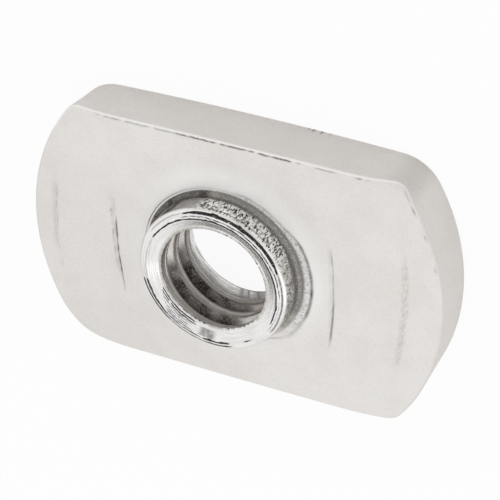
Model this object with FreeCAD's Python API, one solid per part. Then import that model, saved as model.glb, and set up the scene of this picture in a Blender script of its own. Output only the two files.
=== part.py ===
import FreeCAD, Part
import math
import os

from FreeCAD import Vector

# A slot nut for framing profile, in millimetres: one blank of plated steel, sheared with two long
# sides and two bowed ends, pierced, and drawn up into a collar that carries the thread.
# The thread's axis is Z, the flat seat face lies at z = 0 and the collar points up.
# X runs along the length, from one bowed end to the other.

# Blank. The width is that of the strip it is sheared from, and is kept at the ends of the long sides.
plate_length = 25.4
plate_width = 15.875
plate_thickness = 3.3
end_radius = 13.0

# One size rounds the edge of the collar's side and bevels that of the seat's side.
edge_break = 0.12

# The shear leaves tight corners on the collar's side and wide ones on the seat's side.
collar_side_corner_radius = 1.1
seat_side_corner_radius = 2.7

# Drawing the collar swells the long sides, most of all at the seat face. The swell starts and
# stops this far in from the tips of the bowed ends.
swell_from_tip = 3.5
collar_side_swell = 0.05
seat_side_swell = 0.18

# The ends are sheared a little askew: on the seat's side each bowed end is shifted along its chord.
seat_side_end_shift = 0.3

# The blank is sheared a little off the thread's centre, towards +X and +Y.
outline_shift_x = 0.48
outline_shift_y = 0.2

# Shearing pulls the corners of the collar's side down in a soft roll, deeper on one diagonal.
deep_corner_roll = 0.42
shallow_corner_roll = 0.26
corner_roll_reach = 1.3

# Collar. Its rim rises from a rounded outer edge to a ridge, the collar's highest line.
collar_diameter = 9.2
collar_height = 1.75
ridge_diameter = 8.1
rim_slope_degrees = 26.0
rim_rounding = 0.2
base_fillet = 0.28

# Shallow ring that the drawing tool's shoulder coins around the collar's foot
coined_ring_width = 0.68
coined_ring_depth = 0.06
coined_ring_shift = 0.3

# Bore, at the thread's minor diameter. A countersink falls from the ridge to a narrow level land.
thread_minor_diameter = 6.5
countersink_depth = 0.37
land_width = 0.2
draw_in_radius = 1.0

# Bowed marks of the forming tool, in the face around the collar: a narrow pair and a wide pair
mark_bow_radius = 25.0
inner_mark_from_collar = 2.1
inner_mark_length = 6.8
inner_mark_width = 0.26
inner_mark_depth = 0.08
outer_mark_from_end = 1.85
outer_mark_length = 6.4
outer_mark_width = 0.5
outer_mark_depth = 0.04

swell_span = plate_length - 2 * swell_from_tip
collar_radius = collar_diameter / 2
bore_radius = thread_minor_diameter / 2
ridge_radius = ridge_diameter / 2
foot_z = plate_thickness - coined_ring_depth
ridge_z = plate_thickness + collar_height
through_cut = 1.0


def arc_between(centre, radius, start_angle, end_angle, z):
    """Arc in a level plane, given by its centre, radius and two angles in radians."""
    points = []
    for angle in (start_angle, (start_angle + end_angle) / 2, end_angle):
        x = centre.x + radius * math.cos(angle)
        y = centre.y + radius * math.sin(angle)
        points.append(Vector(x, y, z))
    return Part.Arc(*points).toShape()


def side_arc(swell):
    """Radius and centre of the +Y long side's arc."""
    radius = ((swell_span / 2) ** 2 + swell ** 2) / (2 * swell)
    return radius, Vector(0, plate_width / 2 + swell - radius, 0)


def corner_centre(end_centre, side, swell, radius):
    """Centre of a +X corner's arc, which touches the end's arc and a long side's. side is its sign in Y."""
    side_radius, side_centre = side_arc(swell)
    gap = side_centre * side - end_centre
    from_end = end_radius - radius
    from_side = side_radius - radius
    along = (from_end ** 2 - from_side ** 2 + gap.Length ** 2) / (2 * gap.Length)
    across = math.sqrt(from_end ** 2 - along ** 2)
    towards = gap.normalize()
    return end_centre + towards * along + Vector(0, 0, 1).cross(towards) * across * side


def angle_of(point, centre):
    return math.atan2(point.y - centre.y, point.x - centre.x)


def outline_arcs(corner_radius, swell, end_shift):
    """Half of the outline as arcs: the +X end, its +Y corner, the +Y side and the corner past it."""
    end_centre = Vector(plate_length / 2 - end_radius, end_shift, 0)
    side_radius, side_centre = side_arc(swell)
    near_corner = corner_centre(end_centre, 1, swell, corner_radius)
    low_corner = corner_centre(end_centre, -1, swell, corner_radius)
    far_corner = low_corner * -1
    start = angle_of(low_corner, end_centre)
    near_end = angle_of(near_corner, end_centre)
    near_side = angle_of(near_corner, side_centre)
    far_side = angle_of(far_corner, side_centre)
    return [
        (end_centre, end_radius, start, near_end),
        (near_corner, corner_radius, near_end, near_side),
        (side_centre, side_radius, near_side, far_side),
        (far_corner, corner_radius, far_side, start + math.pi),
    ]


def blank_outline(half, z, inset=0.0):
    """Closed wire from half of the outline and the same arcs after half a turn, drawn in by an inset."""
    edges = []
    for centre, radius, start_angle, end_angle in half:
        edges.append(arc_between(centre, radius - inset, start_angle, end_angle, z))
    for centre, radius, start_angle, end_angle in half:
        edges.append(arc_between(centre * -1, radius - inset, start_angle + math.pi, end_angle + math.pi, z))
    return Part.Wire(edges)


def corner_roll(side, depth):
    """Cutter for a +X corner: what lies over a level roller that touches the face. side is its sign in Y."""
    end_centre = Vector(plate_length / 2 - end_radius, 0, 0)
    centre = corner_centre(end_centre, side, collar_side_swell, collar_side_corner_radius)
    facing = (angle_of(centre, end_centre) + side * math.pi / 2) / 2
    outermost = centre.x * math.cos(facing) + centre.y * math.sin(facing) + collar_side_corner_radius
    roller_radius = (corner_roll_reach ** 2 + depth ** 2) / (2 * depth)
    touch = outermost - corner_roll_reach
    half_span = plate_width
    corner_low = Vector(touch, -half_span, plate_thickness - roller_radius / 2)
    axis_end = Vector(touch, -half_span, plate_thickness - roller_radius)
    block = Part.makeBox(roller_radius, 2 * half_span, roller_radius, corner_low)
    roller = Part.makeCylinder(roller_radius, 2 * half_span, axis_end, Vector(0, 1, 0))
    cutter = block.cut(roller)
    cutter.rotate(Vector(0, 0, 0), Vector(0, 0, 1), math.degrees(facing))
    return cutter


def sheared_blank():
    """The plate with its broken edges and rolled corners, moved to its place on the thread's axis."""
    seat_side = outline_arcs(seat_side_corner_radius, seat_side_swell, seat_side_end_shift)
    collar_side = outline_arcs(collar_side_corner_radius, collar_side_swell, 0)
    outlines = [
        blank_outline(seat_side, 0, edge_break),
        blank_outline(seat_side, edge_break),
        blank_outline(collar_side, plate_thickness),
    ]
    plate = Part.makeLoft(outlines, True, True)
    face_edges = [edge for edge in plate.Edges if edge.BoundBox.ZMin > plate_thickness - edge_break]
    plate = plate.makeFillet(edge_break, face_edges)
    for side, depth in ((1, deep_corner_roll), (-1, shallow_corner_roll)):
        roll = corner_roll(side, depth)
        plate = plate.cut(roll)
        roll.rotate(Vector(0, 0, 0), Vector(0, 0, 1), 180)
        plate = plate.cut(roll)
    plate.translate(Vector(outline_shift_x, outline_shift_y, 0))
    return plate


def turned(edges):
    """Solid of revolution around the thread's axis from a closed profile in the XZ plane."""
    return Part.Face(Part.Wire(edges)).revolve(Vector(0, 0, 0), Vector(0, 0, 1), 360)


def profile_line(start, end):
    return Part.LineSegment(Vector(start[0], 0, start[1]), Vector(end[0], 0, end[1])).toShape()


def profile_arc(centre, radius, start_degrees, end_degrees):
    points = []
    for degrees in (start_degrees, (start_degrees + end_degrees) / 2, end_degrees):
        angle = math.radians(degrees)
        points.append(Vector(centre[0] + radius * math.cos(angle), 0, centre[1] + radius * math.sin(angle)))
    return Part.Arc(*points).toShape()


def drawn_collar():
    """The collar as drawn: straight wall, rounded rim with its ridge, and a fillet at its foot."""
    slope = math.radians(rim_slope_degrees)
    foot_radius = collar_radius + base_fillet
    wall_low = foot_z + base_fillet
    rounding_centre = collar_radius - rim_rounding
    slope_end = rounding_centre + rim_rounding * math.sin(slope)
    slope_end_z = ridge_z - (slope_end - ridge_radius) * math.tan(slope)
    wall_high = slope_end_z - rim_rounding * math.cos(slope)
    return turned([
        profile_line((0, 0), (foot_radius, 0)),
        profile_line((foot_radius, 0), (foot_radius, foot_z)),
        profile_arc((foot_radius, wall_low), base_fillet, 270, 180),
        profile_line((collar_radius, wall_low), (collar_radius, wall_high)),
        profile_arc((rounding_centre, wall_high), rim_rounding, 0, 90 - rim_slope_degrees),
        profile_line((slope_end, slope_end_z), (ridge_radius, ridge_z)),
        profile_line((ridge_radius, ridge_z), (0, ridge_z)),
        profile_line((0, ridge_z), (0, 0)),
    ])


def tapped_bore():
    """What is open along the axis: draw-in, bore at the minor diameter, land and countersink."""
    draw_in_edge = bore_radius + draw_in_radius
    land_z = ridge_z - countersink_depth
    land_radius = bore_radius + land_width
    flare = (ridge_radius - land_radius) / countersink_depth
    above_radius = ridge_radius + flare * through_cut
    return turned([
        profile_line((0, -through_cut), (draw_in_edge, -through_cut)),
        profile_line((draw_in_edge, -through_cut), (draw_in_edge, 0)),
        profile_arc((draw_in_edge, draw_in_radius), draw_in_radius, 270, 180),
        profile_line((bore_radius, draw_in_radius), (bore_radius, land_z)),
        profile_line((bore_radius, land_z), (land_radius, land_z)),
        profile_line((land_radius, land_z), (above_radius, ridge_z + through_cut)),
        profile_line((above_radius, ridge_z + through_cut), (0, ridge_z + through_cut)),
        profile_line((0, ridge_z + through_cut), (0, -through_cut)),
    ])


def coined_ring():
    """Shallow dished disc sunk in the face, a little off the thread's centre."""
    outer = collar_radius + coined_ring_width
    floor_radius = outer - 2 * coined_ring_depth
    lift = plate_thickness + through_cut
    slope = (outer - floor_radius) / coined_ring_depth
    top_radius = outer + slope * through_cut
    ring = Part.makeCone(floor_radius, top_radius, lift - foot_z, Vector(coined_ring_shift, 0, foot_z))
    return ring


def bowed_mark(side, distance, length, width, depth):
    """Cutter for one round-bottomed mark that bows away from the collar. side is +1 or -1 along X."""
    tube_radius = (width ** 2 / 4 + depth ** 2) / (2 * depth)
    half_angle = math.degrees(math.asin(length / 2 / mark_bow_radius))
    centre = Vector(distance - mark_bow_radius, 0, plate_thickness + tube_radius - depth)
    mark = Part.makeTorus(mark_bow_radius, tube_radius, centre, Vector(0, 0, 1), -180, 180, 2 * half_angle)
    mark.rotate(centre, Vector(0, 0, 1), -half_angle)
    if side < 0:
        mark.rotate(Vector(0, 0, 0), Vector(0, 0, 1), 180)
    return mark


def slot_nut():
    """The finished nut."""
    nut = sheared_blank().cut(coined_ring())
    nut = nut.fuse(drawn_collar())
    nut = nut.cut(tapped_bore())
    inner_distance = collar_radius + inner_mark_from_collar
    outer_distance = plate_length / 2 - outer_mark_from_end
    for side in (1, -1):
        nut = nut.cut(bowed_mark(side, inner_distance, inner_mark_length, inner_mark_width, inner_mark_depth))
        nut = nut.cut(bowed_mark(side, outer_distance, outer_mark_length, outer_mark_width, outer_mark_depth))
    return nut.removeSplitter()


os.makedirs("parts", exist_ok=True)

nut_body = slot_nut()
nut_body.exportStep("parts/nut_body.step")

print("solids", len(nut_body.Solids), "valid", nut_body.isValid(), "faces", len(nut_body.Faces))
print("volume mm3", round(nut_body.Volume, 2), "box", nut_body.BoundBox)
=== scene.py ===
# %% [markdown]
# # A slot nut: sheared plate, drawn collar, tapped thread
#
# This lesson dresses one small steel part for a picture. The part is a slot nut: a plate
# 25.4 mm long that slides in a framing profile, with a collar drawn up from it that carries
# the thread. The exact shape is already known from the CAD frame, so every step here keeps
# to that shape and adds what a plain solid lacks: a real thread, tool marks, a sheared edge
# and the look of bright zinc plating.

# %% Open the fixed frame
import math

import bmesh
import bpy
from mathutils import Matrix, Vector, noise


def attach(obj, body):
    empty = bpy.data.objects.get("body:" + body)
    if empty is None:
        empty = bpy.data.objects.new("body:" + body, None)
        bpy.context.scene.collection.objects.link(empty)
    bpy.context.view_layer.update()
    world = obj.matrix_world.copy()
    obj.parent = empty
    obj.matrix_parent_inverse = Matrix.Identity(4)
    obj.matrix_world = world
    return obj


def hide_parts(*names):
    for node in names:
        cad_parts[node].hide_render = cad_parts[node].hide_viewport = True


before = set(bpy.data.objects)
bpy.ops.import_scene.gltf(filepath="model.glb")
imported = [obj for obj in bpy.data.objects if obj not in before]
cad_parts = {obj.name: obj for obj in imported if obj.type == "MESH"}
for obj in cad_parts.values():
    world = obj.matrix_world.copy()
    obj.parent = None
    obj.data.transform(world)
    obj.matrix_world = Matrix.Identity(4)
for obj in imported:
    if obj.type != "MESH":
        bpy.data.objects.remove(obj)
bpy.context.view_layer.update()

print("CAD nodes:", sorted(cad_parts))

# %% [markdown]
# ## Sizes
#
# Modelling in millimetres keeps the numbers the same as on a drawing. The finished mesh is
# scaled to metres once, at the very end. The origin is on the thread's axis, in the plane of
# the flat seat face, and the collar points up.

# %% Sizes of the plate and the collar
plate_length = 25.4
plate_width = 15.875
plate_thickness = 3.3
end_radius = 13.0
edge_break = 0.12
outline_centre = Vector((0.48, 0.2, 0.0))

collar_radius = 4.6
ridge_z = 5.05
ridge_radius = 4.05
rim_slope = math.radians(26.0)
rim_rounding = 0.16
foot_fillet = 0.28
ring_radius = 5.28
ring_depth = 0.06
bore_radius = 3.25
land_radius = 3.45
land_z = 4.68
draw_in = 1.0
foot_edge = collar_radius + foot_fillet
foot_z = plate_thickness - ring_depth
print("ridge", ridge_z - plate_thickness, "mm above the face")

# %% Sizes of the thread
pitch = 1.411
root_radius = 3.86
crest_half_width = 0.27
crest_height_at_x = 0.655
print("threads in the bore:", round((land_z - draw_in) / pitch, 2))

# %% [markdown]
# ## Small helpers
#
# Several steps need the vertices of a closed loop in order. All loops of this part can be
# seen whole from their own centre, so sorting by angle gives the same order in each of them,
# and vertex number ten of one loop faces vertex number ten of the next. The other helpers
# measure: how far a point is from the thread's axis, and how to fade from nought to one.

# %% Loops in order
def in_order(verts, centre):
    """The vertices of one loop, sorted by their angle around a centre, from just under zero."""
    def angle(v):
        return (math.atan2(v.co.y - centre[1], v.co.x - centre[0]) + 0.003) % math.tau
    return sorted(verts, key=angle)


def edges_between(verts):
    """The edges whose two ends are both in this set."""
    inside = set(verts)
    return list({e for v in inside for e in v.link_edges if e.other_vert(v) in inside})


def radius_of(point):
    """Distance from the thread's axis."""
    return math.hypot(point[0], point[1])


def smooth_step(low, high, x):
    """Zero at low, one at high, and a smooth curve between them."""
    t = min(max((x - low) / (high - low), 0.0), 1.0)
    return t * t * (3 - 2 * t)


# %% [markdown]
# ## Two outlines
#
# The blank is sheared from strip, and the shear doesn't cut straight down: it leaves tight
# corners on the collar's side and wide ones on the seat's side. Each outline has two bowed
# ends, two long sides that swell a little, and four corners. Spinning a single vertex about
# one centre after another draws half of it, arc by arc. Half a turn gives the other half.

# %% Where the arcs have their centres
swell_span = 18.4


def side_arc(swell):
    """Radius and centre of the long +Y side's arc."""
    radius = ((swell_span / 2) ** 2 + swell ** 2) / (2 * swell)
    return radius, Vector((0, plate_width / 2 + swell - radius, 0))


def corner_centre(end_centre, side, swell, radius):
    """Centre of a +X corner's arc, which touches the end's arc and a long side's."""
    side_radius, side_centre = side_arc(swell)
    gap = side_centre * side - end_centre
    from_end = end_radius - radius
    from_side = side_radius - radius
    along = (from_end ** 2 - from_side ** 2 + gap.length_squared) / (2 * gap.length)
    across = math.sqrt(from_end ** 2 - along ** 2)
    towards = gap.normalized()
    return end_centre + towards * along + Vector((-towards.y, towards.x, 0)) * across * side


def angle_from(centre, point):
    return math.atan2(point.y - centre.y, point.x - centre.x)


# %% Draw an outline
up = (0, 0, 1)
arc_steps = (78, 13, 136, 13)
around = 2 * sum(arc_steps)


def outline(corner_radius, swell, end_shift):
    """A bmesh with one closed outline around the origin."""
    bm = bmesh.new()
    end_centre = Vector((plate_length / 2 - end_radius, end_shift, 0))
    near = corner_centre(end_centre, 1, swell, corner_radius)
    low = corner_centre(end_centre, -1, swell, corner_radius)
    side_radius, side_centre = side_arc(swell)
    turns = (
        (end_centre, angle_from(end_centre, low)),
        (near, angle_from(end_centre, near)),
        (side_centre, angle_from(side_centre, near)),
        (-low, angle_from(side_centre, -low)),
        (None, angle_from(end_centre, low) + math.pi),
    )
    first = turns[0][1]
    tip = bm.verts.new(end_centre + end_radius * Vector((math.cos(first), math.sin(first), 0)))
    for (centre, start), (_, stop), steps in zip(turns, turns[1:], arc_steps):
        arc = bmesh.ops.spin(bm, geom=[tip], cent=centre, axis=up, angle=stop - start, steps=steps)
        tip = next(v for v in arc["geom_last"] if isinstance(v, bmesh.types.BMVert))
    half = bm.verts[:] + bm.edges[:]
    bmesh.ops.spin(bm, geom=half, cent=(0, 0, 0), axis=up, angle=math.pi, steps=1, use_duplicate=True)
    bmesh.ops.remove_doubles(bm, verts=bm.verts[:], dist=0.01)
    bmesh.ops.translate(bm, verts=bm.verts[:], vec=outline_centre)
    return bm


collar_side_corner = 1.1
collar_side_swell = 0.05
plate = outline(collar_side_corner, collar_side_swell, 0.0)
seat_outline = outline(2.7, 0.18, 0.3)
print("outline vertices:", len(plate.verts), "and", len(seat_outline.verts))

# %% [markdown]
# ## The blank
#
# A face filled into one outline and extruded gives the blank with upright walls. Then each
# vertex below moves to its twin on the other outline, so the walls lean as the shear left
# them. Plating and tumbling break the sharp edges: the upper one gets a small round, the
# lower one a single bevel. A cut close to each bevel keeps its smooth shading narrow.

# %% Extrude the blank and lay its lower edge on the other outline
def key_of(vert):
    return round(vert.co.x, 3), round(vert.co.y, 3)


twins = {key_of(v): w.co.copy() for v, w in zip(plate.verts, seat_outline.verts)}
seat_outline.free()
bmesh.ops.translate(plate, verts=plate.verts[:], vec=(0, 0, plate_thickness))
face = bmesh.ops.contextual_create(plate, geom=plate.edges[:])["faces"]
lowered = bmesh.ops.extrude_face_region(plate, geom=face, use_keep_orig=True)["geom"]
for vert in lowered:
    if isinstance(vert, bmesh.types.BMVert):
        vert.co = twins[key_of(vert)]
upright = [e for e in plate.edges if abs(e.verts[0].co.z - e.verts[1].co.z) > 1]
bmesh.ops.subdivide_edges(plate, edges=upright, cuts=6)

# %% Break its edges
def level_edges(height):
    """The edges at one height that border one of the two large flat faces."""
    level = [e for e in plate.edges if all(abs(v.co.z - height) < 0.001 for v in e.verts)]
    return [e for e in level if any(len(f.verts) == around for f in e.link_faces)]


for height, segments in ((0, 1), (plate_thickness, 3)):
    bmesh.ops.bevel(
        plate, geom=level_edges(height), offset=edge_break, affect="EDGES",
        segments=segments, profile=0.5, material=-1
    )
cut_from_edge = edge_break + 0.03
for height in (cut_from_edge, plate_thickness - cut_from_edge):
    everything = plate.verts[:] + plate.edges[:] + plate.faces[:]
    bmesh.ops.bisect_plane(plate, geom=everything, plane_co=(0, 0, height), plane_no=up, dist=0.001)
bmesh.ops.recalc_face_normals(plate, faces=plate.faces[:])
print("blank:", len(plate.faces), "faces")

# %% [markdown]
# ## The collar blank
#
# The collar is a turned shape, so its half section is drawn once and spun about the thread's
# axis. The section starts with sharp corners. Rounding three of them with a vertex bevel
# gives the rim's round, the fillet at the foot and the wide draw-in on the far side, each
# from a single radius. The collar stays a closed solid until its thread is cut. It reaches
# out to a joining circle, where the face of the plate will meet it.

# %% Draw the half section of the collar
join_radius = 6.0
collar = bmesh.new()
shoulder_z = ridge_z - (collar_radius - ridge_radius) * math.tan(rim_slope)
shoulder_room = 0.2
inside = bore_radius - 0.25
below_tap = bore_radius + 0.002
ring_low, ring_high = ring_radius - 0.3, ring_radius - 0.12


def along(start, end, cuts):
    """Points on the way from one corner of the section to the next, the last corner left out."""
    return [tuple(a + (b - a) * i / cuts for a, b in zip(start, end)) for i in range(cuts)]


section = [
    (join_radius, 0),
    (below_tap, 0),
    (below_tap, draw_in + 0.03),
    (inside, draw_in + 0.15),
    (inside, land_z),
    (bore_radius, land_z),
]
slope_end = (collar_radius - shoulder_room, shoulder_z + shoulder_room * math.tan(rim_slope))
section += along((land_radius, land_z), (ridge_radius, ridge_z), 28)
section += along((ridge_radius, ridge_z), slope_end, 11)
section.append(slope_end)
shoulder = len(section)
section += [(collar_radius, shoulder_z), (collar_radius, foot_z)]
section += along((ring_low, foot_z), (ring_high, foot_z), 3)
section += along((ring_high, foot_z), (ring_radius, plate_thickness), 3)
section += along((ring_radius, plate_thickness), (join_radius, plate_thickness), 5)
section.append((join_radius, plate_thickness))
corners = [collar.verts.new((r, 0, z)) for r, z in section]
for a, b in zip(corners, corners[1:] + corners[:1]):
    collar.edges.new((a, b))
print("corners of the section:", len(corners))

# %% Round its corners and divide its wall
rounds = (
    # corner, radius, steps
    (corners[1], draw_in, 12),
    (corners[shoulder], rim_rounding, 5),
    (corners[shoulder + 1], foot_fillet, 7),
)
for corner, size, steps in rounds:
    bmesh.ops.bevel(
        collar, geom=[corner], offset=size, affect="VERTICES", segments=steps, profile=0.5, material=-1
    )


def on_wall(edge):
    """True for the long straight edge of the section's outer wall."""
    upright = all(abs(v.co.x - collar_radius) < 0.001 for v in edge.verts)
    return upright and edge.calc_length() > 0.5


bmesh.ops.subdivide_edges(collar, edges=[e for e in collar.edges if on_wall(e)], cuts=17)
print("half section:", len(collar.verts), "vertices")

# %% Spin it about the thread's axis
bmesh.ops.spin(
    collar, geom=collar.verts[:] + collar.edges[:], cent=(0, 0, 0), axis=up,
    angle=math.tau, steps=around, use_merge=True
)
bmesh.ops.recalc_face_normals(collar, faces=collar.faces[:])
print("collar blank:", len(collar.faces), "faces, volume", round(collar.calc_volume(), 2), "mm3")

# %% [markdown]
# ## The tap
#
# A thread could be painted on with a bump, but the bore of this part is wide open to the
# eye, so it gets a cut thread. As in the workshop, the tool is made first: one pitch of the
# thread form, spun with a rise at each step, sweeps out a screw. The form starts and ends on
# a narrow ridge, which leaves the fine seam that forming taps leave along each crest of the
# nut. Near the countersink the tap is drawn in, so the thread fades out under the land.

# %% Sweep one pitch of thread form into a tap
tap_turns = 6
steps_per_turn = 160
half_form = [
    # radius, height above the middle of the crest
    (bore_radius + 0.05, 0.0),
    (bore_radius + 0.005, 0.045),
    (bore_radius, 0.10),
    (bore_radius + 0.01, crest_half_width - 0.04),
    (bore_radius + 0.05, crest_half_width + 0.03),
    (bore_radius + 0.12, crest_half_width + 0.075),
    (root_radius - 0.07, pitch / 2 - 0.10),
    (root_radius, pitch / 2 - 0.03),
]
form = half_form + [(r, pitch - z) for r, z in reversed(half_form)]
tap = bmesh.new()
start_z = crest_height_at_x - 2 * pitch
points = [tap.verts.new((r, 0, start_z + z)) for r, z in form]
form_edges = [tap.edges.new(pair) for pair in zip(points, points[1:])]
bmesh.ops.spin(
    tap, geom=points + form_edges, cent=(0, 0, 0), axis=up, dvec=(0, 0, pitch / steps_per_turn),
    angle=math.tau * tap_turns, steps=steps_per_turn * tap_turns
)
bmesh.ops.remove_doubles(tap, verts=tap.verts[:], dist=0.002)
print("tap:", len(tap.faces), "faces")

# %% Let the thread fade out below the countersink
fade_start, fade_end = land_z - 0.45, land_z - 0.06
least_cut = 0.003
for vert in tap.verts:
    reach = radius_of(vert.co)
    kept = smooth_step(fade_end, fade_start, vert.co.z)
    wanted = bore_radius + least_cut + (reach - bore_radius) * kept
    vert.co.xy *= wanted / reach
heights = [v.co.z for v in tap.verts]
print("tap from z", round(min(heights), 3), "to", round(max(heights), 3))

# %% Close the tap's two ends
def close_to_axis(bm, edges, height):
    """Draws a boundary in to one point on the axis."""
    drawn = bmesh.ops.extrude_edge_only(bm, edges=edges)["geom"]
    verts = [v for v in drawn if isinstance(v, bmesh.types.BMVert)]
    bmesh.ops.pointmerge(bm, verts=verts, merge_co=(0, 0, height))


end_edges = [e for e in tap.edges if e.is_boundary]
middle = (min(heights) + max(heights)) / 2
low_end = [e for e in end_edges if e.verts[0].co.z < middle]
high_end = [e for e in end_edges if e.verts[0].co.z >= middle]
close_to_axis(tap, low_end, start_z - pitch)
close_to_axis(tap, high_end, start_z + (tap_turns + 2) * pitch)
bmesh.ops.recalc_face_normals(tap, faces=tap.faces[:])
thread_finish = 3
for face in tap.faces:
    face.material_index = thread_finish
print("tap closed:", all(e.is_manifold for e in tap.edges), "volume", round(tap.calc_volume(), 1))

# %% [markdown]
# ## Cutting the thread
#
# The Boolean modifier takes the tap away from the collar. Its exact solver keeps the faces
# it doesn't touch, and the faces left by the tap bring their material number along, so the
# thread can have its own finish later. The result is read back as a plain mesh.

# %% Cut the thread with the tap
def plain_object(bm, name):
    """A bmesh as a new object in the scene."""
    mesh = bpy.data.meshes.new(name)
    bm.to_mesh(mesh)
    bm.free()
    thing = bpy.data.objects.new(name, mesh)
    bpy.context.scene.collection.objects.link(thing)
    return thing


collar_thing = plain_object(collar, "collar_blank")
tap_thing = plain_object(tap, "tap")
cut = collar_thing.modifiers.new("thread", "BOOLEAN")
cut.operation = "DIFFERENCE"
cut.solver = "EXACT"
cut.object = tap_thing
evaluated = collar_thing.evaluated_get(bpy.context.evaluated_depsgraph_get())
tapped = evaluated.to_mesh()
collar = bmesh.new()
collar.from_mesh(tapped)
evaluated.to_mesh_clear()
for thing in (collar_thing, tap_thing):
    bpy.data.meshes.remove(thing.data)
print("tapped collar:", len(collar.faces), "faces, closed:", all(e.is_manifold for e in collar.edges),
      "volume", round(collar.calc_volume(), 2))

# %% [markdown]
# ## Joining collar and plate
#
# Plate and collar are one piece of steel, so they become one mesh. The two flat caps of the
# blank and the outside of the collar's solid are taken off. That leaves two open loops above
# and two below, each with the same number of vertices.

# %% Take off the caps
caps = [f for f in plate.faces if len(f.verts) == around]
bmesh.ops.delete(plate, geom=caps, context="FACES_ONLY")
outside = [f for f in collar.faces if all(radius_of(v.co) > join_radius - 0.001 for v in f.verts)]
bmesh.ops.delete(collar, geom=outside, context="FACES")
carrier = bpy.data.meshes.new("carrier")
collar.to_mesh(carrier)
collar.free()
plate.from_mesh(carrier)
bpy.data.meshes.remove(carrier)
nut = plate
open_edges = [e for e in nut.edges if e.is_boundary]
open_verts = {v for e in open_edges for v in e.verts}
print("caps:", len(caps), "open vertices:", len(open_verts))

# %% [markdown]
# ## The face around the collar
#
# The flat face will carry tool marks only a few hundredths of a millimetre deep, so it needs
# fine loops where the marks are and few elsewhere. Each loop is extruded from the last one
# and laid at its own share of the way from the plate's edge to the collar. Close to the edge
# the loops keep a fixed distance from it, which leaves room for the lip of the shear.

# %% Where the loops go
edge_distances = (0.03, 0.06, 0.09, 0.12, 0.2, 0.34, 0.5)
shares = [0.94, 0.91]
shares += [0.89 - 0.0105 * i for i in range(21)]
shares += [0.65, 0.61, 0.55, 0.49, 0.43, 0.37, 0.31, 0.27]
shares += [0.24 - 0.0077 * i for i in range(28)]
print("loops on the face:", len(edge_distances) + len(shares))

# %% Lay the loops and bridge to the collar
def lay_loops(bm, outer, inner, distances, shares):
    """Extrudes loop after loop from the outer loop towards the inner one, then bridges to it."""
    outer = in_order(outer, outline_centre)
    inner = in_order(inner, (0, 0))
    starts = [v.co.copy() for v in outer]
    ends = [v.co.copy() for v in inner]
    current = outer
    for kind, amount in [("mm", d) for d in distances] + [("share", s) for s in shares]:
        drawn = bmesh.ops.extrude_edge_only(bm, edges=edges_between(current))["geom"]
        fresh = [v for v in drawn if isinstance(v, bmesh.types.BMVert)]
        current = in_order(fresh, outline_centre)
        for vert, start, end in zip(current, starts, ends):
            if kind == "mm":
                vert.co = start + (end - start).normalized() * amount
            else:
                near = start + (end - start).normalized() * distances[-1]
                vert.co = end.lerp(near, amount)
    bmesh.ops.bridge_loops(bm, edges=edges_between(current) + edges_between(inner))


def open_loop(height, beyond):
    """The open vertices at one height, outside or inside the joining circle."""
    found = [v for v in open_verts if abs(v.co.z - height) < 0.01]
    return [v for v in found if (radius_of(v.co) > join_radius + 0.3) == beyond]


plate_loop, collar_loop = open_loop(plate_thickness, True), open_loop(plate_thickness, False)
lay_loops(nut, plate_loop, collar_loop, edge_distances, shares)
lay_loops(nut, open_loop(0, True), open_loop(0, False), (0.05, 0.2, 0.5), (0.6, 0.3))
bmesh.ops.recalc_face_normals(nut, faces=nut.faces[:])
print("nut:", len(nut.faces), "faces, closed:", all(e.is_manifold for e in nut.edges),
      "volume", round(nut.calc_volume(), 2), "mm3")

# %% [markdown]
# ## Corners rolled down
#
# With the mesh closed, the details of shearing and pressing are small moves of its vertices.
# The first is the roll at the four corners of the collar's side. The shear bends the face
# down there like a sheet over a roller, more on one diagonal than on the other. A circle's
# height gives the drop, so the roll starts without a crease.

# %% How far a corner is rolled down
end_centre = Vector((plate_length / 2 - end_radius, 0, 0))
corner = corner_centre(end_centre, 1, collar_side_swell, collar_side_corner)
corner_facing = (angle_from(end_centre, corner) + math.pi / 2) / 2
corner_out = corner.x * math.cos(corner_facing) + corner.y * math.sin(corner_facing) + collar_side_corner
roll_reach = 1.3
deep_roll, shallow_roll = 0.42, 0.26
roll_top, roll_foot = plate_thickness - 0.15, plate_thickness / 2 - 0.4


def corner_drop(x, y, z):
    """How far the shear pulls a point down. On the walls the drop fades out below."""
    x, y = x - outline_centre.x, y - outline_centre.y
    depth = deep_roll if x * y > 0 else shallow_roll
    roll_radius = (roll_reach ** 2 + depth ** 2) / (2 * depth)
    outwards = abs(x) * math.cos(corner_facing) + abs(y) * math.sin(corner_facing)
    past = min(max(outwards - (corner_out - roll_reach), 0.0), roll_reach)
    return (roll_radius - math.sqrt(roll_radius ** 2 - past ** 2)) * smooth_step(roll_foot, roll_top, z)


print("drop at a corner:", round(corner_drop(12.0, 7.6, plate_thickness), 3), "mm")

# %% [markdown]
# ## Two numbers on every vertex
#
# The finish has to know where dirt and painted shade sit, and where metal is rubbed bright or
# carries a painted highlight. Two numbers on every vertex carry that to the materials. The
# functions that shape a groove give its stain and painted shade as well, so shape and dark
# always lie together. Their roughness comes from smooth noise, which is the same in every run.

# %% Layers for stain with painted shade, and for rubbed metal with painted highlights
# The first layer holds stain and painted shade, the second rubbed metal and painted highlights.
stain_and_shade = nut.verts.layers.float.new("stain_and_shade")
rubbed_and_highlight = nut.verts.layers.float.new("rubbed_and_highlight")


def rough(x, y=0.0, z=0.0):
    """Smooth random numbers between minus one and one."""
    return noise.noise(Vector((x, y, z)))


def trough(u, half_width):
    """A round-bottomed groove of depth one: u is the distance from its middle."""
    return max(0.0, 1 - (u / half_width) ** 2)


print("layers:", nut.verts.layers.float.keys())

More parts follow.
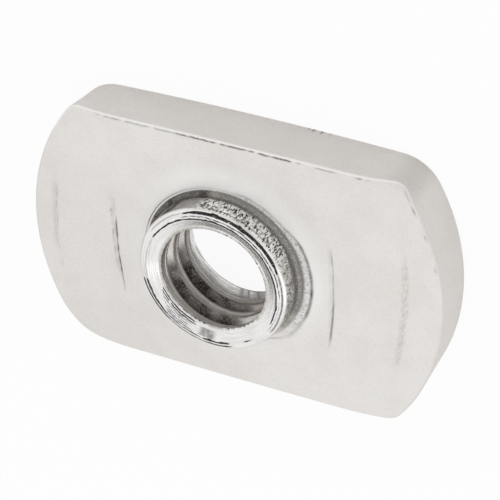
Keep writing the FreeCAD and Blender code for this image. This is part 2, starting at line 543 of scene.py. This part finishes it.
# %% Arcs around the axis
def arc(degrees, start, end, soft=5.0):
    """One inside an arc given in degrees, fading to zero over its soft ends."""
    length = (end - start) % 360
    turn = (degrees - start) % 360
    if turn > 180 + length / 2:
        turn -= 360
    return smooth_step(-soft, soft, turn) * smooth_step(length + soft, length - soft, turn)


def strongest(degrees, arcs):
    """The largest strength among arcs that are given as start, end and strength."""
    return max(strength * arc(degrees, start, end) for start, end, strength in arcs)


def rough_around(degrees, speed, other=0.0):
    """Smooth random numbers that run around the axis and meet again after a full turn."""
    turn = math.radians(degrees)
    return rough(math.cos(turn) * speed, math.sin(turn) * speed, other)


print("middle of an arc over zero:", arc(0, 330, 30))

# %% [markdown]
# ## Tool marks
#
# The tool that draws the collar up leaves two pairs of bowed marks. Each is a groove a few
# hundredths of a millimetre deep, darkened with painted shade. Both the depth and the painted
# shade come from the same measure, the distance from the mark's bowed middle line. A mark that
# is dark in one part and pale in another is laid down in two or three strips.

# %% Bowed marks on the face
mark_bow_radius = 25.0
mark_fade = 1.2
marks = (
    # side, distance from the axis, lean, its two ends, half width, depth, painted shade, gaps in it
    # and how fine these are
    (-1, 6.84, 0.04, (-3.9, 1.9), 0.08, 0.03, 0.95, 0.5, 1.0),
    (-1, 7.09, 0.05, (-2.4, 3.0), 0.05, 0.015, 0.45, 0.9, 1.0),
    (-1, 6.97, 0.045, (-3.3, 3.3), 0.2, 0.03, 0.22, 0.4, 1.0),
    (1, 6.73, 0.012, (-3.9, 3.4), 0.06, 0.02, 0.4, 0.5, 1.0),
    (1, 6.73, 0.012, (-3.9, 0.2), 0.07, 0.02, 0.8, 0.2, 1.0),
    (1, 6.64, 0.012, (-3.4, 3.8), 0.2, 0.015, 0.1, 0.8, 1.0),
    (-1, 10.92, 0.0, (-2.4, 3.5), 0.2, 0.03, 0.2, 0.2, 1.0),
    (-1, 10.76, 0.0, (-0.9, 3.3), 0.045, 0.015, 0.5, 0.6, 1.0),
    (-1, 10.80, 0.0, (-4.2, -0.6), 0.1, 0.015, 0.2, 0.8, 1.0),
    (1, 10.96, -0.04, (-4.1, 4.2), 0.26, 0.015, 0.22, 1.0, 3.4),
)


def from_mark(x, y, side, distance, lean):
    """Signed distance from a mark that bows away from the collar and leans a little."""
    bow_centre = side * (distance - mark_bow_radius)
    wander = 0.03 * rough(side * 3, y * 1.3, distance)
    return math.hypot(x - bow_centre, y) - mark_bow_radius + side * lean * y - wander


def on_face(x, y):
    """Depth and painted shade of the marks at one point of the face."""
    side = 1 if x > 0 else -1
    depth = dirt_and_shade = 0.0
    for mark_side, distance, lean, (low, high), half_width, deep, mark_shade, gaps, fine in marks:
        if mark_side != side:
            continue
        fade = smooth_step(low, low + mark_fade, y) * smooth_step(high, high - mark_fade, y)
        share = trough(from_mark(x, y, side, distance, lean), half_width) * fade
        patchy = 1 - gaps * smooth_step(0.2, -0.4, rough(x * 2.5 * fine, y * 2.2 * fine, distance))
        depth += deep * share
        # The marks' darkness is painted shade in their grooves.
        dirt_and_shade = max(dirt_and_shade, mark_shade * share * patchy)
    return depth, dirt_and_shade


print("strips of marks:", len(marks))

# %% [markdown]
# ## The pressed ring
#
# The shoulder of the drawing tool presses a shallow ring into the face around the collar. It
# sat off centre, so the ring is wide towards +X and hardly there on the other side. The spun ring
# is even all round, and its vertices are moved outwards or inwards to the width it has in
# each direction. A thin line of painted shade follows its outer edge.

# %% The ring's width, its specks and its painted edge shade
narrow_ring = 5.05
ring_end_softness = 9
ring_edge_shades = (
    # from and to in degrees, strength
    (335, 36, 0.8), (38, 82, 0.5), (82, 150, 0.25), (318, 335, 0.25),
)


def ring_reach(r, degrees):
    """Radius that a point of the ring, or of the face just outside it, moves to."""
    wide = 0.44 * arc(degrees, 310, 38, ring_end_softness)
    middling = 0.14 * arc(degrees, 38, 80, ring_end_softness)
    edge = narrow_ring + wide + middling
    if r < ring_radius:
        return foot_edge + (r - foot_edge) / (ring_radius - foot_edge) * (edge - foot_edge)
    return edge + (r - ring_radius) / (join_radius - ring_radius) * (join_radius - edge)


def on_ring(r, degrees):
    """Painted shade in a thin line at the ring's outer edge, and specks inside it."""
    line = trough(r - ring_radius + 0.04, 0.07) * (0.8 + 0.5 * rough_around(degrees, 9))
    specks = smooth_step(0.0, 0.4, rough_around(degrees, 60, r * 10)) * smooth_step(5.25, 5.15, r)
    # The line is painted shade along the ring's edge; the specks are the metal's own.
    return max(line * strongest(degrees, ring_edge_shades), 0.42 * specks * arc(degrees, 320, 90, 20))


for direction in (0, 60, 180):
    print("ring at", direction, "degrees reaches", round(ring_reach(ring_radius, direction), 2), "mm")

# %% [markdown]
# ## The torn edge
#
# Shearing tears the upper edge of the long side: a thin groove runs just inside it, broken
# into dashes and darkened with painted shade. A few short dashes follow the bowed end. The
# small round on the edge itself gets a painted highlight along the long sides.

# %% Grooves along two edges
side_radius, side_centre = side_arc(collar_side_swell)
near_edge = 0.25
tear_half_width = 0.06
side_tears = (
    # from x, to x, how deep
    (-7.8, -2.6, 0.45), (-2.8, 4.6, 1.0), (5.6, 6.7, 0.5), (8.0, 8.6, 0.8), (10.4, 11.5, 0.9),
)
end_tears = (
    # from y, to y, how deep
    (7.2, 7.9, 0.25), (6.6, 6.9, 0.7), (5.2, 5.4, 0.6), (3.3, 3.5, 0.6),
)


def torn_here(place, tears):
    """How deep the tears are at one place along an edge."""
    soft = 0.2
    return max(
        depth * smooth_step(start - soft, start + soft, place)
        * smooth_step(end + soft, end - soft, place)
        for start, end, depth in tears
    )


def torn(x, y):
    """How deep the torn grooves are at one point of the face, from zero to one."""
    x0, y0 = x - outline_centre.x, y - outline_centre.y
    from_side = side_radius - edge_break - math.hypot(x0 - side_centre.x, y0 - side_centre.y)
    from_end = end_radius - edge_break - math.hypot(x0 - end_centre.x, y0)
    if y0 > 0 and from_side < near_edge:
        middle = 0.045 + 0.03 * rough(x * 0.9, 4.0) + 0.02 * rough(x * 4, 7.0)
        dash = smooth_step(-0.35, 0.05, rough(x * 2.2, 9.0))
        return torn_here(x, side_tears) * dash * trough(from_side - middle, tear_half_width)
    if x0 > 0 and from_end < near_edge:
        return torn_here(y, end_tears) * trough(from_end - 0.02, tear_half_width)
    return 0.0


print("tears:", len(side_tears) + len(end_tears))

# %% [markdown]
# ## The collar's rim
#
# The rim was turned by the tool that countersinks the hole. Thin dark lines of painted shade run
# along the ridge and the shoulder of its profile, and fine tool rings cross the countersink. Each
# line lies at its own radius, wanders a little, swells and thins, and shows only over some arcs.

# %% Painted shade lines and tool rings of the rim
# From 4.06 mm outwards the lines are painted shade; those inside 4 mm are tool rings.
rim_shade_and_tool_lines = (
    # radius, half width, arcs: from and to in degrees, strength
    (4.375, 0.07, ((22, 112, 1.0), (112, 150, 0.35), (193, 232, 1.0), (232, 262, 0.6),
                   (262, 285, 1.0), (325, 22, 0.45))),
    (4.46, 0.035, ((28, 105, 0.8), (195, 230, 0.9))),
    (4.21, 0.035, ((0, 115, 0.6), (180, 240, 0.35), (325, 0, 0.4))),
    (4.06, 0.055, ((335, 112, 1.0), (112, 150, 0.9), (150, 193, 0.35), (193, 262, 0.6),
                   (262, 285, 1.0), (300, 308, 0.8))),
    (4.11, 0.09, ((193, 229, 1.0), (263, 285, 1.0))),
    (3.96, 0.03, ((350, 100, 0.35), (222, 252, 0.5))),
    (3.50, 0.032, ((18, 98, 0.8), (205, 250, 1.0))),
    (3.60, 0.03, ((207, 252, 0.9), (30, 80, 0.4))),
    (3.69, 0.022, ((210, 250, 0.6),)),
    (3.79, 0.022, ((215, 250, 0.5),)),
    (3.88, 0.022, ((220, 248, 0.5),)),
)


def on_rim(r, degrees):
    """Painted shade of the lines, and stain of one smeared streak and of the land at one point of the
    rim.
    """
    dirt_and_shade = 0.0
    for radius, half_width, arcs in rim_shade_and_tool_lines:
        wander = 0.03 * rough_around(degrees, 9, radius * 7) + 0.012 * rough_around(degrees, 30, radius)
        width = half_width * (1.0 + 0.5 * rough_around(degrees, 16, radius * 5))
        dash = smooth_step(-0.9, -0.4, rough_around(degrees, 13, radius * 11))
        line = smooth_step(0.0, 0.8, trough(r - radius - wander, width))
        dirt_and_shade = max(dirt_and_shade, strongest(degrees, arcs) * dash * line)
    blotch = 0.8 + 0.6 * rough_around(degrees, 20, r * 4)
    streak = 0.4 * arc(degrees, 255, 274) * smooth_step(3.45, 3.6, r) * smooth_step(4.05, 3.95, r)
    land = 0.55 * smooth_step(land_radius + 0.01, land_radius - 0.03, r)
    return min(max(dirt_and_shade, streak * (0.7 + 0.3 * blotch), land * blotch), 1.0)


print("folds:", len(rim_shade_and_tool_lines))

# %% [markdown]
# ## The collar's wall
#
# The wall scraped along its die and galled: short strokes run up it, deep enough to need
# real grooves. Painted shade with some dirt darkens the hollow at its foot, painted shade makes
# one side greyer and another browner, and a thin line of painted shade runs under the rim's round.

# %% Galling, with painted shade and dirt on the wall
stroke_depth = 0.03


def on_wall_of_collar(degrees, z):
    """Depth of the galling, painted shade with dirt, and rubbed metal at one point of the collar's wall.
    """
    stroke = rough_around(degrees, 52, z * 2.2) + 0.5 * rough_around(degrees, 90, z * 4)
    galled = max(arc(degrees, 26, 104, 7), 0.8 * arc(degrees, 326, 30, 10))
    depth = stroke_depth * galled * smooth_step(-0.1, 0.5, stroke)

    foot_top = 3.62 + 0.09 * rough_around(degrees, 8) + 0.24 * arc(degrees, 350, 24, 8)
    foot_top += 0.05 * rough_around(degrees, 30)
    # Painted shade with some dirt darkens the hollow at the foot.
    foot_shade = 0.7 * arc(degrees, 330, 100, 10) + 0.85 * arc(degrees, 100, 166, 6)
    foot_shade *= smooth_step(foot_top + 0.1, foot_top - 0.06, z)
    specks = 0.85 * galled * smooth_step(0.15, 0.45, stroke) * smooth_step(foot_top - 0.2, foot_top, z)
    brightened = galled * smooth_step(foot_top - 0.1, foot_top + 0.1, z)

    # A thin line of painted shade runs just under the rim's round.
    shoulder_line_z = 4.57 + 0.04 * rough_around(degrees, 8, 3.0)
    shoulder_shade_line = 0.85 * arc(degrees, 42, 98) * trough(z - shoulder_line_z, 0.05)
    # Painted shade: the wall is greyer on one side and browner on another.
    grey_side_shade = 0.6 * arc(degrees, 312, 350, 12) + 0.36 * arc(degrees, 350, 24, 8)
    brown_side_shade = 0.55 * arc(degrees, 102, 130, 6) + 0.85 * arc(degrees, 126, 162, 8)
    patches = 0.9 + 0.5 * rough_around(degrees, 12, z * 1.5)
    return depth, min(max(specks, foot_shade, shoulder_shade_line, grey_side_shade * patches, brown_side_shade * patches), 1.0), brightened


print("wall at 60 degrees, halfway up:", [round(n, 3) for n in on_wall_of_collar(60, 4.1)])

# %% [markdown]
# ## The thread's painted shade and burrs
#
# Painted shade darkens the grooves, most of all on the far side of the bore, and thin lines of
# painted shade edge the crests. A brown patch lies low on one side. Where the thread runs out into
# the far side, the tap leaves a ragged burr.

# %% Grooves, crests and burrs
exit_burrs = ((173, 186), (213, 226), (239, 251), (260, 291))
burr_reach = 0.05


def in_bore(r, degrees, z):
    """Inward reach of the burrs, and stain and painted shade at one point of the thread."""
    # Painted shade in the grooves, deepest on the far side of the bore, and along the crest edges.
    shade = 0.25 + 0.75 * arc(degrees, 192, 288, 12)
    groove_shade = shade * smooth_step(bore_radius + 0.01, bore_radius + 0.05, r)
    groove_shade *= smooth_step(4.62, 4.5, z) * smooth_step(1.15, 1.45, z)
    groove_shade *= 0.85 + 0.3 * rough_around(degrees, 5, z * 6)
    crest_edge_shade = 0.65 * trough(r - bore_radius - 0.05, 0.05) * arc(degrees, 110, 300, 10)
    crest_edge_shade *= smooth_step(4.6, 4.5, z)
    patch = 0.4 * arc(degrees, 265, 300) * smooth_step(1.5, 1.3, z) * smooth_step(0.7, 0.9, z)
    burr = smooth_step(0.45, 0.75, z) * smooth_step(1.15, 0.9, z) * smooth_step(3.5, 3.4, r)
    burr *= max(arc(degrees, start, end) for start, end in exit_burrs)
    burr *= smooth_step(-0.2, 0.3, rough_around(degrees, 18))
    return burr_reach * burr, min(max(groove_shade, crest_edge_shade, patch, 0.9 * burr), 1.0)


print("burrs:", len(exit_burrs))

# %% [markdown]
# ## Dressing the vertices
#
# Each vertex is asked once where it lies: on a side wall, the face, the face's edge, the rim,
# the collar's wall or the bore. That decides which of the functions above moves it and writes
# its two numbers.

# %% What happens on the walls, the face and its edge
def dress_side(vert, x, y, z):
    """Side walls of the blank: painted shade at one corner, specks at the seat's edge."""
    turn = math.degrees(math.atan2(y - outline_centre.y, x - outline_centre.x))
    # Painted shade darkens the wall near one corner.
    corner_shade = 0.15 * smooth_step(6, 1, abs(turn - 37))
    specks = 0.9 * smooth_step(0.05, 0.3, rough(x * 4, 5.0)) * smooth_step(0.4, 0.1, z)
    vert[stain_and_shade] = max(corner_shade, specks * (3.6 < x < 6.2) * (y > 7))


def dress_face(vert, x, y, r, degrees):
    """The flat face. Gives back how deep its marks and its torn edge are."""
    tear = torn(x, y)
    depth, dirt_and_shade = on_face(x, y)
    # Painted shade: the face darkens a little towards its lower left.
    lower_left_shade = 0.05 * smooth_step(-2, -9, x + 0.8 * y)
    ring_specks_and_shade = on_ring(r, degrees) if r < join_radius else 0.0
    # The darkness of the torn groove is painted shade.
    vert[stain_and_shade] = max(dirt_and_shade, 0.95 * tear, lower_left_shade, ring_specks_and_shade)
    # Painted light: the face is brightened near the collar, most of all towards +X and +Y.
    vert[rubbed_and_highlight] = smooth_step(7.0, 5.2, r) * (0.2 + 0.6 * arc(degrees, 345, 130, 30))
    return depth + 0.03 * tear


def dress_edge(vert, x, y):
    """The small round on the face's edge."""
    along_side = smooth_step(5.5, 6.8, y) + 0.5 * smooth_step(-5.5, -6.8, y)
    # Painted highlight along the round of the long sides; elsewhere the round is a little darker.
    vert[rubbed_and_highlight] = 0.5 * along_side * smooth_step(10.8, 9.8, x)
    vert[stain_and_shade] = 0.12 * (1 - min(along_side, 1.0))


# %% Move the vertices and write the two numbers
plate_starts = join_radius + 0.5
moved = 0
for vert in nut.verts:
    x, y, z = vert.co
    r = radius_of(vert.co)
    degrees = math.degrees(math.atan2(y, x)) % 360
    drop = 0.0
    if z > 0.05 and r > foot_edge + 0.01:
        drop = corner_drop(x, y, z)
        if r > plate_starts and z < plate_thickness - 0.01:
            dress_side(vert, x, y, z)
        if abs(z - plate_thickness) < 0.001 or r < join_radius:
            drop += dress_face(vert, x, y, r, degrees)
        elif r > plate_starts and z > plate_thickness - edge_break + 0.01:
            dress_edge(vert, x, y)
    elif z > land_z - 0.01 and r < collar_radius - 0.01:
        vert[stain_and_shade] = on_rim(r, degrees)
        ripple = 0.005 * (rough(r * 24, x * 0.3, y * 0.3) + 1)
        drop = 0.018 * vert[stain_and_shade] * (r > land_radius) + ripple
    elif z > foot_z - 0.01 and r > collar_radius - 0.02:
        depth, vert[stain_and_shade], vert[rubbed_and_highlight] = on_wall_of_collar(degrees, z)
        vert.co.xy *= (r - depth) / r
    elif z > 0.4 and r < root_radius + 0.05:
        reach, vert[stain_and_shade] = in_bore(r, degrees, z)
        # The bore gets lighter towards its exit.
        vert[rubbed_and_highlight] = 0.9 * smooth_step(1.7, 1.3, z)
        vert.co.xy *= (r - reach) / r
    vert.co.z -= drop
    if z > foot_z - 0.01 and foot_edge < r < join_radius:
        vert.co.xy *= ring_reach(r, degrees) / r
    moved += drop > 0
print("vertices lowered:", moved)

# %% Which finish goes where
wall_finish, rim_finish = 1, 2
for face in nut.faces:
    middle = face.calc_center_median()
    r = radius_of(middle)
    if face.material_index == thread_finish:
        continue
    if middle.z > land_z - 0.005 and r < collar_radius - 0.06:
        face.material_index = rim_finish
    elif middle.z > plate_thickness - 0.05 and r < foot_edge + 0.03:
        face.material_index = wall_finish
print("faces of the rim:", sum(f.material_index == rim_finish for f in nut.faces))

# %% [markdown]
# ## One finished mesh
#
# The mesh is scaled to metres and smoothed, with every edge over thirty degrees kept sharp.
# Its object stays at the origin, because the mesh already lies in its place.

# %% Make the nut
bmesh.ops.dissolve_degenerate(nut, dist=0.0005, edges=nut.edges[:])
millimetre = 0.001
bmesh.ops.scale(nut, vec=(millimetre, millimetre, millimetre), verts=nut.verts[:])
nut.normal_update()
for face in nut.faces:
    face.smooth = True
sharp_from = math.radians(30)
for edge in nut.edges:
    edge.smooth = edge.calc_face_angle(0) < sharp_from
slot_nut = plain_object(nut, "slot_nut")
print("triangles:", sum(len(p.vertices) - 2 for p in slot_nut.data.polygons))

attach(slot_nut, "root")
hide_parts("nut_body")

# %% [markdown]
# ## Building a finish from nodes
#
# All four finishes are zinc plated steel and share one recipe of nodes. Adding and linking
# nodes takes three or four lines each, so a few small helpers come first. The first makes any
# node and fills its inputs with numbers or links. The last three make a node for sums, one for
# blending colours and one for moving a number to another span, and give back its output.

# %% Node helpers
def add(tree, kind, **inputs):
    """Adds a node and fills its inputs with numbers or with links."""
    made = tree.nodes.new("ShaderNode" + kind)
    for key, value in inputs.items():
        fill(tree, made.inputs[key.replace("_", " ")], value)
    return made


def fill(tree, socket, value):
    """Gives a socket a number, a colour or a link."""
    if isinstance(value, bpy.types.NodeSocket):
        tree.links.new(value, socket)
    else:
        socket.default_value = value


def sums(tree, operation, first, second):
    """One Math node on two numbers or links."""
    made = tree.nodes.new("ShaderNodeMath")
    made.operation = operation
    fill(tree, made.inputs[0], first)
    fill(tree, made.inputs[1], second)
    return made.outputs[0]


def blended(tree, share, first, second):
    """A colour between two others. Inputs 6 and 7 and output 2 are the node's colours."""
    made = tree.nodes.new("ShaderNodeMix")
    made.data_type = "RGBA"
    fill(tree, made.inputs[0], share)
    fill(tree, made.inputs[6], first)
    fill(tree, made.inputs[7], second)
    return made.outputs[2]


def remapped(tree, value, low, high, to_low, to_high):
    """A number moved smoothly from one span to another."""
    made = add(tree, "MapRange", Value=value)
    made.interpolation_type = "SMOOTHSTEP"
    for name, number in (("From Min", low), ("From Max", high), ("To Min", to_low), ("To Max", to_high)):
        made.inputs[name].default_value = number
    return made.outputs[0]


print("helpers ready")

# %% [markdown]
# ## Coordinates that follow the part
#
# A pattern needs coordinates that lie still on the part. Straight ones do for patches and
# grain. Tool lines on a turned piece run around its axis, so a second set replaces X and Y by
# the direction from the axis and adds the distance from it. How fast each of the three runs
# decides which way the lines lie: slow around and fast upwards gives rings, and the reverse
# gives upright strokes.

# %% Coordinates in millimetres, straight and around the axis
def straight(tree):
    """Object coordinates in millimetres."""
    coordinates = tree.nodes.new("ShaderNodeTexCoord")
    per_metre = 1 / millimetre
    mapping = add(tree, "Mapping", Vector=coordinates.outputs["Object"], Scale=(per_metre,) * 3)
    return mapping.outputs[0]


def vector_node(tree, operation, first):
    """One Vector Math node with its first input filled."""
    made = tree.nodes.new("ShaderNodeVectorMath")
    made.operation = operation
    fill(tree, made.inputs[0], first)
    return made


def round_about(tree, place, around, outwards, upwards):
    """Coordinates that follow the axis: how fast they run around, outwards and upwards."""
    parts = add(tree, "SeparateXYZ", Vector=place)
    flat = add(tree, "CombineXYZ", X=parts.outputs["X"], Y=parts.outputs["Y"])
    length = vector_node(tree, "LENGTH", flat.outputs[0])
    unit = vector_node(tree, "NORMALIZE", flat.outputs[0])
    turned = vector_node(tree, "SCALE", unit.outputs[0])
    turned.inputs["Scale"].default_value = around
    along_axis = sums(tree, "MULTIPLY", parts.outputs["Z"], upwards)
    rise = sums(tree, "MULTIPLY_ADD", length.outputs["Value"], outwards)
    fill(tree, rise.node.inputs[2], along_axis)
    both = vector_node(tree, "ADD", turned.outputs[0])
    fill(tree, both.inputs[1], add(tree, "CombineXYZ", Z=rise).outputs[0])
    return both.outputs[0]


def speckle(tree, place, scale, detail=2.0):
    """Noise between zero and one at a number of specks to the millimetre."""
    return add(tree, "TexNoise", Vector=place, Scale=scale, Detail=detail).outputs[0]


# %% [markdown]
# ## The shared recipe
#
# Zinc plating is never one even grey. The metal itself has patches of two close colours and a
# fine grain. Over these lie the rubbed metal and painted highlights, brighter, and the stain and
# painted shade, broken up by a finer noise so that they don't look sprayed on, and duller than
# the metal. The lines of the rim are crisp, so there the stain and painted shade are pushed
# towards none or all.

# %% One plated finish
patch_scale, grain_scale, broken_scale = 0.45, 9.0, 12.0
rubbed_and_highlight_colour = (0.98, 0.975, 0.96, 1)
stain_and_shade_dull = 0.25


def zinc(name, colour, warm, dirt_and_shade, metal, roughness, strokes, stroke_depth, grain_depth, line_dirt,
         crisp=False):
    """A plated finish. Depths are in millimetres.

    strokes: how fast its tool lines run around, outwards and upwards.
    line_dirt: how much dirt the tool lines hold, in plain places and in rubbed ones.
    """
    mat = bpy.data.materials.new(name)
    mat.use_nodes = True
    tree = mat.node_tree
    shader = tree.nodes["Principled BSDF"]
    shader.inputs["Metallic"].default_value = metal
    place = straight(tree)
    stain_and_shade_node = add(tree, "Attribute")
    stain_and_shade_node.attribute_name = "stain_and_shade"
    brightened = add(tree, "Attribute")
    brightened.attribute_name = "rubbed_and_highlight"

    patches = remapped(tree, speckle(tree, place, patch_scale, 3.0), 0.35, 0.65, 0.0, 1.0)
    grain = speckle(tree, place, grain_scale, 3.0)
    lines = speckle(tree, round_about(tree, place, *strokes), 1.0, 3.0)
    ground = blended(tree, patches, (*colour, 1), (*warm, 1))
    dusty = blended(tree, remapped(tree, grain, 0.4, 0.75, 0.0, 0.07), ground, (*dirt_and_shade, 1))
    # Rubbed metal and painted highlights lift the colour towards a bright one.
    bright = blended(tree, brightened.outputs["Fac"], dusty, rubbed_and_highlight_colour)

    # Stain and painted shade pull the colour towards the dark one.
    stain_and_shade_here = stain_and_shade_node.outputs["Fac"]
    if crisp:
        stain_and_shade_here = remapped(tree, stain_and_shade_here, 0.15, 0.6, 0.0, 1.0)
    broken = remapped(tree, speckle(tree, place, broken_scale, 2.0), 0.2, 0.6, 0.75, 1.1)
    share = sums(tree, "MULTIPLY", stain_and_shade_here, broken)
    held = remapped(tree, brightened.outputs["Fac"], 0.0, 1.0, *line_dirt)
    in_lines = sums(tree, "MULTIPLY", remapped(tree, lines, 0.48, 0.41, 0.0, 1.0), held)
    share = sums(tree, "MINIMUM", sums(tree, "MAXIMUM", share, in_lines), 1.0)
    fill(tree, shader.inputs["Base Color"], blended(tree, share, bright, (*dirt_and_shade, 1)))

    uneven = remapped(tree, grain, 0.3, 0.7, roughness - 0.05, roughness + 0.05)
    duller = sums(tree, "MULTIPLY_ADD", share, stain_and_shade_dull)
    fill(tree, duller.node.inputs[2], uneven)
    fill(tree, shader.inputs["Roughness"], duller)

    tool_lines = add(tree, "Bump", Height=lines, Distance=stroke_depth * millimetre, Strength=1.0)
    fine = add(tree, "Bump", Height=grain, Distance=grain_depth * millimetre, Strength=1.0,
               Normal=tool_lines.outputs[0])
    fill(tree, shader.inputs["Normal"], fine.outputs[0])
    return mat


# %% [markdown]
# ## Four finishes
#
# The sheared plate is satin with a faint grain. The wall of the collar has strokes along its
# axis, the rim has fine rings from the countersinking tool, and the thread is smooth, with
# brown painted shade in its grooves. Their order is that of the numbers on the faces.

# %% Make and assign the finishes
finishes = (
    zinc(
        "zinc_plate", colour=(0.795, 0.772, 0.748), warm=(0.77, 0.742, 0.715), dirt_and_shade=(0.12, 0.11, 0.1),
        metal=0.6, roughness=0.42, strokes=(1.0, 0.4, 0.4), stroke_depth=0.004, grain_depth=0.004,
        line_dirt=(0.0, 0.0)
    ),
    zinc(
        "collar_wall", colour=(0.84, 0.82, 0.79), warm=(0.74, 0.71, 0.66), dirt_and_shade=(0.07, 0.062, 0.052),
        metal=1.0, roughness=0.3, strokes=(48.0, 0.5, 4.0), stroke_depth=0.04, grain_depth=0.006,
        line_dirt=(0.12, 1.0)
    ),
    zinc(
        "turned_rim", colour=(0.88, 0.87, 0.86), warm=(0.83, 0.82, 0.81), dirt_and_shade=(0.03, 0.026, 0.024),
        metal=1.0, roughness=0.24, strokes=(2.0, 24.0, 0.0), stroke_depth=0.008, grain_depth=0.003,
        line_dirt=(0.18, 0.18), crisp=True
    ),
    zinc(
        "thread_flank", colour=(0.84, 0.81, 0.78), warm=(0.76, 0.72, 0.68), dirt_and_shade=(0.05, 0.035, 0.028),
        metal=1.0, roughness=0.32, strokes=(3.0, 0.0, 24.0), stroke_depth=0.008, grain_depth=0.004,
        line_dirt=(0.3, 0.3)
    ),
)
for mat in finishes:
    slot_nut.data.materials.append(mat)
print("finishes:", [m.name for m in slot_nut.data.materials])

# %% [markdown]
# ## The table
#
# The part lies on a pale table. A photograph for a catalogue shows the table as pure white,
# which would take far too much light on the bright metal. Instead the material mixes in white
# by the kind of ray: nearly all for the camera's own rays, a little for reflections, none for
# the light that the table throws back. The rest of the mix keeps the nut's soft shadow.

# %% The floor
floor_bm = bmesh.new()
bmesh.ops.create_grid(floor_bm, x_segments=8, y_segments=8, size=1.0)
floor = plain_object(floor_bm, "floor")
floor_mat = bpy.data.materials.new("pale_floor")
floor_mat.use_nodes = True
tree = floor_mat.node_tree
table_top = tree.nodes["Principled BSDF"]
table_top.inputs["Base Color"].default_value = (0.81, 0.8, 0.79, 1)
table_top.inputs["Roughness"].default_value = 0.9
seen_share, mirrored_share = 0.93, 0.1
ray = tree.nodes.new("ShaderNodeLightPath")
seen = sums(tree, "MULTIPLY", ray.outputs["Is Camera Ray"], seen_share)
mirrored = sums(tree, "MULTIPLY", ray.outputs["Is Glossy Ray"], mirrored_share)
white = add(tree, "Emission", Color=(1, 1, 1, 1), Strength=1.0)
either = add(tree, "MixShader", Fac=sums(tree, "ADD", seen, mirrored))
fill(tree, either.inputs[1], table_top.outputs[0])
fill(tree, either.inputs[2], white.outputs[0])
fill(tree, tree.nodes["Material Output"].inputs["Surface"], either.outputs[0])
floor.data.materials.append(floor_mat)
print("table:", floor.name)

# %% [markdown]
# ## The camera
#
# The camera looks down from the +X, +Y side through a long lens, as for small parts on a
# table. Its place and its turn were fitted beforehand to the plate's outline and the collar's
# circles. The columns of the turn are the picture's right, its up and the way back from the
# part to the lens.

# %% Camera
camera_data = bpy.data.cameras.new("camera")
camera_data.lens = 159.722
camera_data.sensor_width = 36
camera_data.clip_start = 0.01
camera = bpy.data.objects.new("camera", camera_data)
bpy.context.scene.collection.objects.link(camera)
camera_place = Vector((0.046522, 0.071089, 0.094887))
camera_turn = Matrix((
    (0.900849, -0.237262, 0.363564),
    (-0.00965, 0.826297, 0.563153),
    (-0.434026, -0.510824, 0.742079),
))
camera.matrix_world = Matrix.Translation(camera_place) @ camera_turn.to_4x4()
bpy.context.scene.camera = camera
bpy.context.scene.view_settings.view_transform = "Standard"
print("camera to thread:", round(camera_place.length, 4), "m")

# %% [markdown]
# ## The light
#
# Bright metal shows its surroundings, so these are most of the look. The part stands in a
# white light tent, made by the world: white all round, with a soft darker patch where the
# camera looks in, which gives the metal something dark to reflect. One soft lamp from the +X
# side lifts the end wall.

# %% The light tent
tent_level = 0.97
world = bpy.data.worlds.new("light_tent")
bpy.context.scene.world = world
world.use_nodes = True
tree = world.node_tree
tent = tree.nodes["Background"]
sky = tree.nodes.new("ShaderNodeTexCoord").outputs["Generated"]


def gap(direction, inner, outer, shade):
    """The tent's brightness with a soft dark patch in one direction, its sizes in degrees."""
    near = vector_node(tree, "DOT_PRODUCT", sky)
    near.inputs[1].default_value = direction
    cos_outer, cos_inner = math.cos(math.radians(outer)), math.cos(math.radians(inner))
    return remapped(tree, near.outputs["Value"], cos_outer, cos_inner, 1.0, shade)


lens_gap = gap(camera_turn.col[2], 4, 20, 0.5)
direct = tree.nodes.new("ShaderNodeLightPath").outputs["Is Camera Ray"]
brightness = sums(tree, "MAXIMUM", direct, sums(tree, "MULTIPLY", lens_gap, tent_level))
tent_white = add(tree, "CombineColor", Red=brightness, Green=brightness, Blue=brightness)
fill(tree, tent.inputs["Color"], tent_white.outputs[0])
tent.inputs["Strength"].default_value = 1.0
print("tent nodes:", len(tree.nodes))

# %% A soft lamp
lamp_data = bpy.data.lights.new("side_lamp", "AREA")
lamp_data.size = 0.25
lamp_data.energy = 0.13
lamp = bpy.data.objects.new("side_lamp", lamp_data)
bpy.context.scene.collection.objects.link(lamp)
azimuth, elevation, lamp_distance = math.radians(-25), math.radians(30), 0.4
towards_lamp = Vector((
    math.cos(elevation) * math.cos(azimuth), math.cos(elevation) * math.sin(azimuth), math.sin(elevation)
))
lamp_turn = towards_lamp.to_track_quat("Z", "Y").to_matrix().to_4x4()
lamp.matrix_world = Matrix.Translation(towards_lamp * lamp_distance) @ lamp_turn
print("lamp at", [round(c, 3) for c in lamp.matrix_world.translation])
